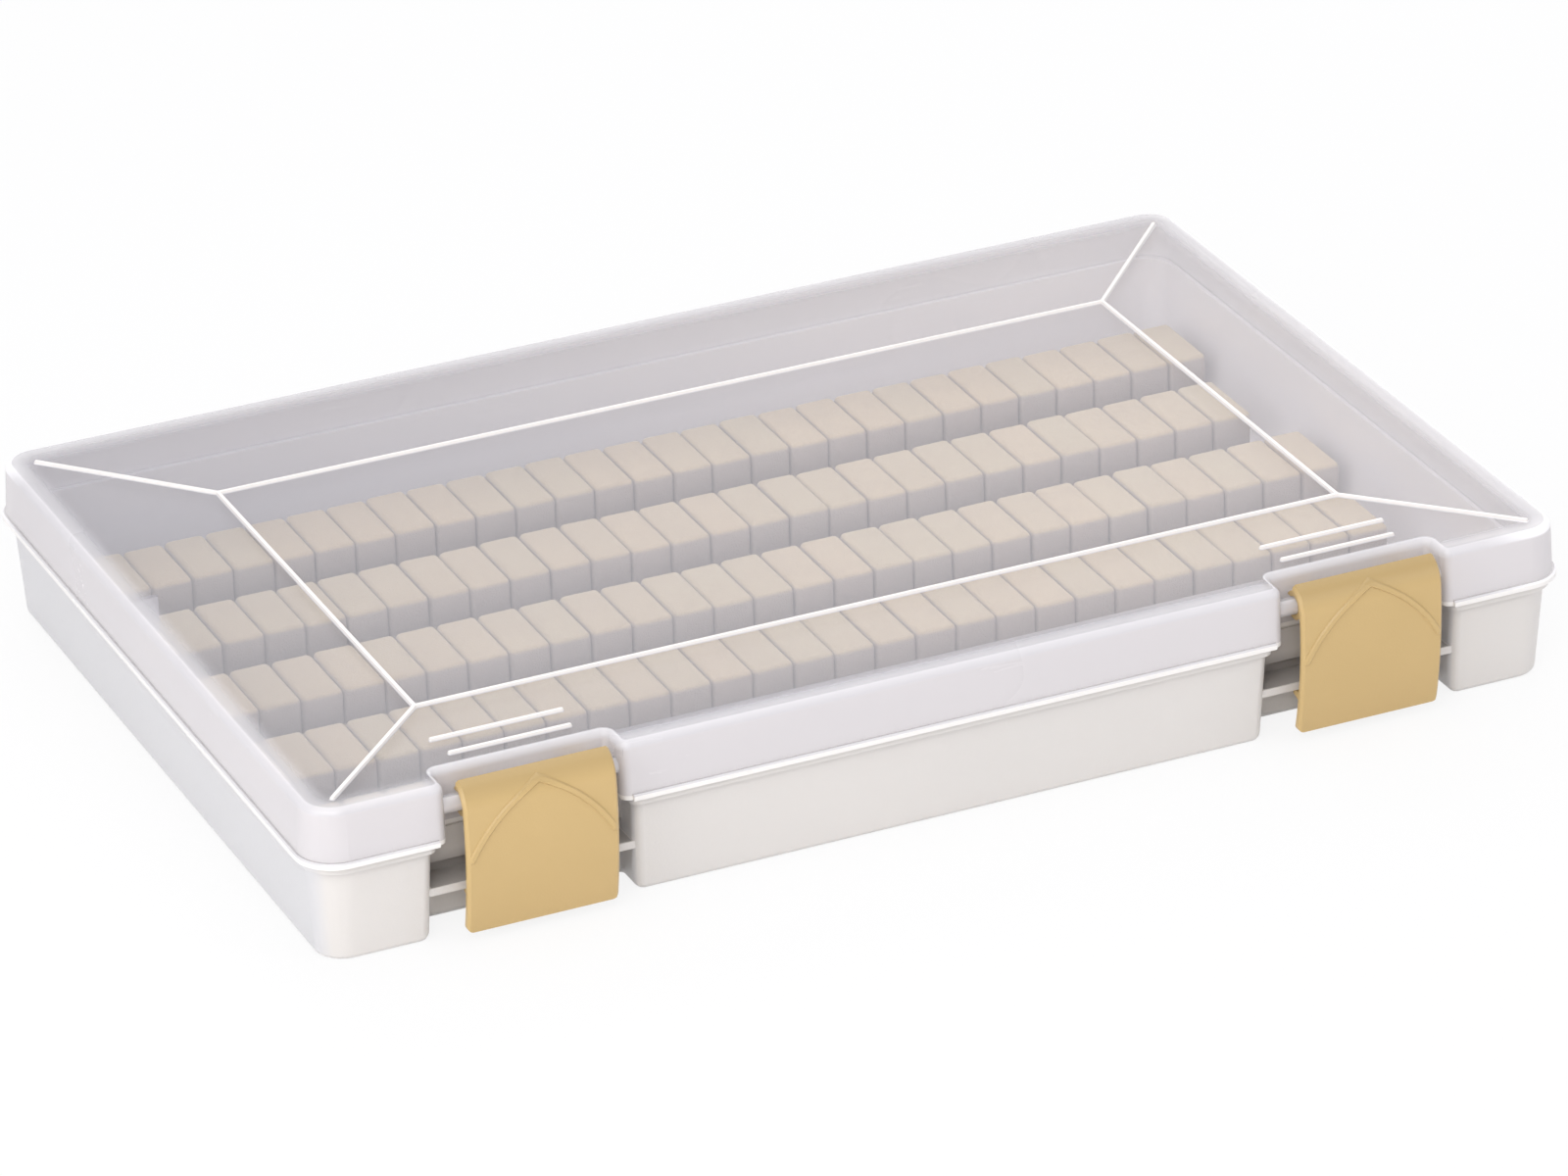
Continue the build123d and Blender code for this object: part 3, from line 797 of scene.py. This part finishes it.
@dataclass
class FoamInsert:
    """Five strips of foam on the tray's floor, each slit across into upright blocks."""

    finish: bpy.types.Material
    rows: int = 5
    blocks: int = 28
    pitch: float = 11.7 * MM
    width: float = 24.0 * MM
    floor: float = 1.8 * MM
    top: float = 18.1 * MM
    slit_floor: float = 7.1 * MM
    slit: float = 0.3 * MM
    overlap: float = 0.3 * MM
    edge_radius: float = 1.5 * MM
    edge_steps: int = 3
    back_row: float = 82.0 * MM
    row_pitch: float = 39.3 * MM
    stagger: float = 3.25 * MM
    lean: float = math.radians(0.7)
    swell: float = 0.016
    seed: int = 11

    def block(self) -> bpy.types.Object:
        """Makes one block, rounded along its upper and upright edges, standing on its own origin.

        Returns:
            An object that is only used by the rows' node tree.
        """
        mesh = bpy.data.meshes.new("foam_block")
        solid = bmesh.new()
        height = self.top - self.slit_floor
        size = Matrix.Diagonal((self.pitch - self.slit, self.width, height, 1.0))
        bmesh.ops.create_cube(solid, size=1.0, matrix=Matrix.Translation((0.0, 0.0, height / 2)) @ size)
        kept = [edge for edge in solid.edges if any(corner.co.z > height / 2 for corner in edge.verts)]
        bmesh.ops.bevel(solid, geom=kept, offset=self.edge_radius, segments=self.edge_steps,
                        profile=0.5, affect="EDGES")
        for face in solid.faces:
            face.smooth = True
        solid.to_mesh(mesh)
        solid.free()
        return bpy.data.objects.new("foam_block", mesh)

    def tree(self) -> bpy.types.NodeTree:
        """Builds the node tree that sets blocks in a row on their strip.

        Returns:
            A geometry node group with the strip in and the whole row out.
        """
        tree = bpy.data.node_groups.new("slit_foam_row", "GeometryNodeTree")
        sockets = {"Strip": "Geometry", "Block": "Object", "Blocks": "Int", "Pitch": "Float",
                   "Start": "Vector", "Lean": "Float", "Swell": "Float", "Tint": "Float", "Seed": "Int",
                   "Finish": "Material"}
        for label, kind in sockets.items():
            tree.interface.new_socket(label, in_out="INPUT", socket_type=f"NodeSocket{kind}")
        tree.interface.new_socket("Row", in_out="OUTPUT", socket_type="NodeSocketGeometry")
        sheet = NodeSheet(tree)
        given = sheet.add("NodeGroupInput")
        step = sheet.add("ShaderNodeCombineXYZ")
        sheet.link(given.outputs["Pitch"], step.inputs["X"])
        line = sheet.add("GeometryNodeMeshLine", mode="OFFSET")
        sheet.link(given.outputs["Blocks"], line.inputs["Count"])
        sheet.link(given.outputs["Start"], line.inputs["Start Location"])
        sheet.link(step.outputs["Vector"], line.inputs["Offset"])
        source = sheet.add("GeometryNodeObjectInfo", transform_space="ORIGINAL")
        sheet.link(given.outputs["Block"], source.inputs["Object"])
        placed = sheet.add("GeometryNodeInstanceOnPoints")
        sheet.link(line.outputs["Mesh"], placed.inputs["Points"])
        sheet.link(source.outputs["Geometry"], placed.inputs["Instance"])
        turn = self._random(sheet, given, "Lean", 0)
        angles = sheet.add("ShaderNodeCombineXYZ")
        sheet.link(turn, angles.inputs["Y"])
        sheet.link(angles.outputs["Vector"], placed.inputs["Rotation"])
        growth = self._random(sheet, given, "Swell", 1)
        sizes = sheet.add("ShaderNodeCombineXYZ", in_X=1.0, in_Y=1.0)
        sheet.link(sheet.maths("ADD", 1.0, growth), sizes.inputs["Z"])
        sheet.link(sizes.outputs["Vector"], placed.inputs["Scale"])
        tinted = sheet.add("GeometryNodeStoreNamedAttribute", data_type="FLOAT", domain="INSTANCE",
                           in_Name=BLOCK_TINT)
        sheet.link(placed.outputs["Instances"], tinted.inputs["Geometry"])
        sheet.link(self._random(sheet, given, "Tint", 2), tinted.inputs["Value"])
        realised = sheet.add("GeometryNodeRealizeInstances")
        sheet.link(tinted.outputs["Geometry"], realised.inputs["Geometry"])
        joined = sheet.add("GeometryNodeJoinGeometry")
        sheet.link(realised.outputs["Geometry"], joined.inputs["Geometry"])
        sheet.link(given.outputs["Strip"], joined.inputs["Geometry"])
        dressed = sheet.add("GeometryNodeSetMaterial")
        sheet.link(joined.outputs["Geometry"], dressed.inputs["Geometry"])
        sheet.link(given.outputs["Finish"], dressed.inputs["Material"])
        result = sheet.add("NodeGroupOutput")
        sheet.link(dressed.outputs["Geometry"], result.inputs["Row"])
        return tree

    def _random(self, sheet: NodeSheet, given: bpy.types.Node, spread: str,
                shift: int) -> bpy.types.NodeSocket:
        """Adds a seeded random value between minus and plus one of the tree's inputs.

        Args:
            sheet: the tree's sheet.
            given: its input node.
            spread: the input that holds the largest value.
            shift: added to the seed, so that two values differ.

        Returns:
            The random value's socket.
        """
        node = sheet.add("FunctionNodeRandomValue", data_type="FLOAT")
        highest = given.outputs[spread]
        for index, limit in zip(RANDOM_LIMITS, (sheet.maths("MULTIPLY", highest, -1.0), highest)):
            sheet.link(limit, node.inputs[index])
        sheet.link(sheet.maths("ADD", given.outputs["Seed"], float(shift)), node.inputs["Seed"])
        return node.outputs[RANDOM_VALUE]

    def strip(self, left: float, middle: float) -> bpy.types.Mesh:
        """Makes the uncut lower part of one strip.

        Args:
            left: the strip's left end.
            middle: the strip's middle line in Y.

        Returns:
            The mesh of the strip.
        """
        length = self.blocks * self.pitch
        height = self.slit_floor + self.overlap - self.floor
        mesh = bpy.data.meshes.new("foam_strip_base")
        solid = bmesh.new()
        size = Matrix.Diagonal((length - self.slit, self.width, height, 1.0))
        place = Matrix.Translation((left + length / 2, middle, self.floor + height / 2))
        bmesh.ops.create_cube(solid, size=1.0, matrix=place @ size)
        solid.to_mesh(mesh)
        solid.free()
        return mesh

    def build(self) -> None:
        """Builds the rows from the back to the front, hangs each on the base and hides the strip solid
        that it stands in for.
        """
        block = self.block()
        tree = self.tree()
        for index in range(self.rows):
            middle = self.back_row - index * self.row_pitch
            side = 1.0 if index % 2 == 0 else -1.0
            left = -self.blocks * self.pitch / 2 + side * self.stagger
            start = (left + self.pitch / 2, middle, self.slit_floor)
            carrier = new_object("foam_carrier", self.strip(left, middle))
            values = {"Block": block, "Blocks": self.blocks, "Pitch": self.pitch, "Start": start,
                      "Lean": self.lean, "Swell": self.swell, "Tint": TINT_SPREAD,
                      "Seed": self.seed + index, "Finish": self.finish}
            mesh = evaluated(carrier, tree, values)
            row = new_object(f"slit_foam_{index + 1}", mesh)
            bpy.data.objects.remove(carrier)
            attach(row, Body.BASE.value)
            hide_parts(f"foam_strip_{index + 1}")
            LOG.info("%s has %d faces", row.name, len(mesh.polygons))
        bpy.data.objects.remove(block)


@dataclass(frozen=True)
class BrokenEdges:
    """The small round that a mould leaves on every sharp edge."""

    radius: float = 0.35 * MM
    steps: int = 2
    sharp: float = math.radians(28.0)
    flat: float = math.radians(0.3)
    seam: float = 0.002 * MM

    def soften(self, node: str, name: str) -> bpy.types.Object:
        """Copies a solid and rounds its sharp edges.

        Args:
            node: the solid's name.
            name: the copy's name.

        Returns:
            The copy, which shades smoothly over its rounds and stays flat on its flat faces.
        """
        mesh = bpy.data.meshes.new(name)
        solid = bmesh.new()
        solid.from_mesh(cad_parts[node].data)
        bmesh.ops.remove_doubles(solid, verts=solid.verts, dist=self.seam)
        bmesh.ops.dissolve_limit(solid, angle_limit=self.flat, verts=solid.verts, edges=solid.edges)
        edges = [edge for edge in solid.edges if edge.is_manifold and edge.calc_face_angle() > self.sharp]
        bmesh.ops.bevel(solid, geom=edges, offset=self.radius, segments=self.steps, profile=0.5,
                        affect="EDGES", clamp_overlap=True)
        for face in solid.faces:
            face.smooth = True
        for edge in solid.edges:
            edge.smooth = True
        solid.to_mesh(mesh)
        solid.free()
        piece = new_object(name, mesh)
        weighted = piece.modifiers.new("flat_faces_lead", "WEIGHTED_NORMAL")
        weighted.keep_sharp = False
        piece.data = modified_mesh(piece)
        piece.modifiers.clear()
        piece.data.materials.clear()
        return piece


@dataclass
class Mouldings:
    """The moulded and drawn pieces, which have the shape of their solids."""

    groups: ShaderGroups
    edges: BrokenEdges = BrokenEdges()
    latch_edges: BrokenEdges = BrokenEdges(radius=0.4 * MM)
    pins: tuple[str, ...] = ("hinge_pin_left", "hinge_pin_middle", "hinge_pin_right")

    def dress(self, node: str, finish: bpy.types.Material) -> None:
        """Gives a solid its finish and leaves its shape alone.

        Args:
            node: the solid's name.
            finish: its material.
        """
        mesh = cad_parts[node].data
        mesh.materials.clear()
        mesh.materials.append(finish)

    def mould(self, node: str, body: Body, finish: bpy.types.Material,
              edges: BrokenEdges) -> None:
        """Puts a copy with broken edges in a solid's place.

        Args:
            node: the solid's name.
            body: the body that it rides on.
            finish: its material.
            edges: how its edges are broken.
        """
        piece = edges.soften(node, f"moulded_{node}")
        piece.data.materials.append(finish)
        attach(piece, body.value)
        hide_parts(node)
        LOG.info("%s has %d faces", piece.name, len(piece.data.polygons))

    def build(self) -> None:
        """Dresses the tray, the lid, the latches and the pins."""
        milky = MilkyPlastic().material(self.groups)
        clear = ClearPlastic().material(self.groups)
        gold = GoldPlastic().material(self.groups)
        self.mould("base_tray", Body.BASE, milky, self.edges)
        self.dress("lid", clear)
        self.mould("left_latch", Body.LEFT_LATCH, gold, self.latch_edges)
        self.mould("right_latch", Body.RIGHT_LATCH, gold, self.latch_edges)
        steel = DrawnSteel().material(self.groups)
        for node in self.pins:
            self.dress(node, steel)


@dataclass(frozen=True)
class Lamp:
    """A soft rectangular lamp that faces a point."""

    name: str
    place: Point
    aim: Point
    size: tuple[float, float]
    watts: float
    colour: Colour = (1.0, 1.0, 1.0)

    def light(self) -> None:
        """Hangs the lamp in the scene."""
        data = bpy.data.lights.new(self.name, "AREA")
        data.shape = "RECTANGLE"
        data.size, data.size_y = self.size
        data.energy = self.watts
        data.color = self.colour
        lamp = new_object(self.name, data)
        lamp.location = self.place
        away = Vector(self.place) - Vector(self.aim)
        lamp.rotation_mode = "QUATERNION"
        lamp.rotation_quaternion = away.to_track_quat("Z", "Y")


@dataclass
class Studio:
    """A pale floor in soft light before a white background."""

    floor_half: float = 4.0
    floor_colour: Colour = (0.80, 0.80, 0.80)
    floor_glow: float = 0.86
    ambient: Colour = (0.93, 0.93, 1.0)
    ambient_strength: float = 0.5
    lamps: tuple[Lamp, ...] = (
        Lamp("key_lamp", (-0.8, -1.2, 1.25), (0.0, 0.0, 0.0), (1.2, 1.2), 17.0, (1.0, 0.985, 0.96)),
        Lamp("fill_lamp", (1.2, -1.1, 0.8), (0.0, 0.0, 0.0), (1.0, 1.0), 5.0),
        Lamp("back_lamp", (0.3, 1.5, 1.3), (0.0, 0.0, 0.0), (1.6, 0.8), 8.0),
        Lamp("top_lamp", (0.15, 0.1, 1.7), (0.0, 0.0, 0.0), (1.6, 1.6), 9.0),
        Lamp("corner_lamp", (-0.85, -0.3, 0.3), (-0.17, -0.11, 0.02), (0.3, 0.6), 1.9),
        Lamp("rim_lamp", (1.0, 1.0, 0.45), (0.1, 0.1, 0.04), (0.6, 0.4), 2.0),
    )

    def seen(self, sheet: NodeSheet) -> bpy.types.NodeSocket:
        """Adds the test for rays that see the background directly, in gloss or through glass.

        Args:
            sheet: the sheet of the floor or the world.

        Returns:
            A value that is 1 for such rays.
        """
        path = sheet.add("ShaderNodeLightPath")
        direct = sheet.maths("MAXIMUM", path.outputs["Is Camera Ray"], path.outputs["Is Glossy Ray"])
        return sheet.maths("MAXIMUM", direct, path.outputs["Is Transmission Ray"])

    def floor(self) -> None:
        """Lays the floor."""
        mesh = bpy.data.meshes.new("studio_floor")
        half = self.floor_half
        corners = [(-half, -half, 0.0), (half, -half, 0.0), (half, half, 0.0), (-half, half, 0.0)]
        mesh.from_pydata(corners, [], [(0, 1, 2, 3)])
        floor = new_object("studio_floor", mesh)
        material = bpy.data.materials.new("pale_floor")
        material.use_nodes = True
        sheet = NodeSheet(material.node_tree)
        matt = sheet.add("ShaderNodeBsdfDiffuse", in_Color=(*self.floor_colour, 1.0))
        glow = sheet.add("ShaderNodeEmission", in_Color=(1.0, 1.0, 1.0, 1.0), in_Strength=1.0)
        blend = sheet.add("ShaderNodeMixShader")
        sheet.link(sheet.maths("MULTIPLY", self.seen(sheet), self.floor_glow), blend.inputs[0])
        sheet.link(matt.outputs["BSDF"], blend.inputs[1])
        sheet.link(glow.outputs["Emission"], blend.inputs[2])
        output = sheet.add("ShaderNodeOutputMaterial")
        sheet.link(blend.outputs["Shader"], output.inputs["Surface"])
        mesh.materials.append(material)

    def world(self) -> None:
        """Sets the background."""
        world = bpy.data.worlds.new("white_studio")
        world.use_nodes = True
        sheet = NodeSheet(world.node_tree)
        soft = sheet.add("ShaderNodeBackground", in_Color=(*self.ambient, 1.0),
                         in_Strength=self.ambient_strength)
        white = sheet.add("ShaderNodeBackground", in_Color=(1.0, 1.0, 1.0, 1.0), in_Strength=1.0)
        blend = sheet.add("ShaderNodeMixShader")
        sheet.link(self.seen(sheet), blend.inputs[0])
        sheet.link(soft.outputs["Background"], blend.inputs[1])
        sheet.link(white.outputs["Background"], blend.inputs[2])
        output = sheet.add("ShaderNodeOutputWorld")
        sheet.link(blend.outputs["Shader"], output.inputs["Surface"])
        bpy.context.scene.world = world

    def build(self) -> None:
        """Sets up floor, background and lamps."""
        self.floor()
        self.world()
        for lamp in self.lamps:
            lamp.light()
        bpy.context.scene.view_settings.view_transform = "Standard"
        LOG.info("the studio has %d lamps", len(self.lamps))


@dataclass(frozen=True)
class PhotoCamera:
    """The camera of the photograph, fitted to the box's edges."""

    image_width: float = 1600.0
    focal_pixels: float = 8048.178
    sensor: float = 36.0
    azimuth: float = -0.42131994
    elevation: float = 0.46746693
    roll: float = -0.02451002
    offset: tuple[float, float] = (-4.06272, 26.21991)
    distance: float = 2083.2872
    target_height: float = 44.1
    clip: Range = (0.05, 20.0)

    def axes(self) -> tuple[Vector, Vector, Vector]:
        """Works out the camera's directions.

        Returns:
            Its right, up and backward directions.
        """
        a, e, r = self.azimuth, self.elevation, self.roll
        back = Vector((math.sin(a) * math.cos(e), -math.cos(a) * math.cos(e), math.sin(e)))
        level = Vector((math.cos(a), math.sin(a), 0.0))
        rise = back.cross(level)
        right = math.cos(r) * level + math.sin(r) * rise
        up = -math.sin(r) * level + math.cos(r) * rise
        return right, up, back

    def build(self) -> None:
        """Makes the scene's camera."""
        right, up, back = self.axes()
        data = bpy.data.cameras.new("photo_camera")
        data.sensor_width = self.sensor
        data.lens = self.focal_pixels / self.image_width * self.sensor
        data.clip_start, data.clip_end = self.clip
        camera = new_object("photo_camera", data)
        place = back * self.distance - right * self.offset[0] - up * self.offset[1]
        place.z += self.target_height
        turn = Matrix((right, up, back)).transposed()
        camera.matrix_world = Matrix.Translation(place * MM) @ turn.to_4x4()
        bpy.context.scene.camera = camera
        LOG.info("the camera has a %.0f mm lens", data.lens)


def main() -> None:
    """Builds the dressed box."""
    logging.basicConfig(level=logging.INFO, format="%(name)s: %(message)s")
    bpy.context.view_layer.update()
    PhotoCamera().build()
    Studio().build()
    groups = ShaderGroups()
    Mouldings(groups).build()
    FoamInsert(ClosedCellFoam().material(groups)).build()


if __name__ == "__main__":
    main()
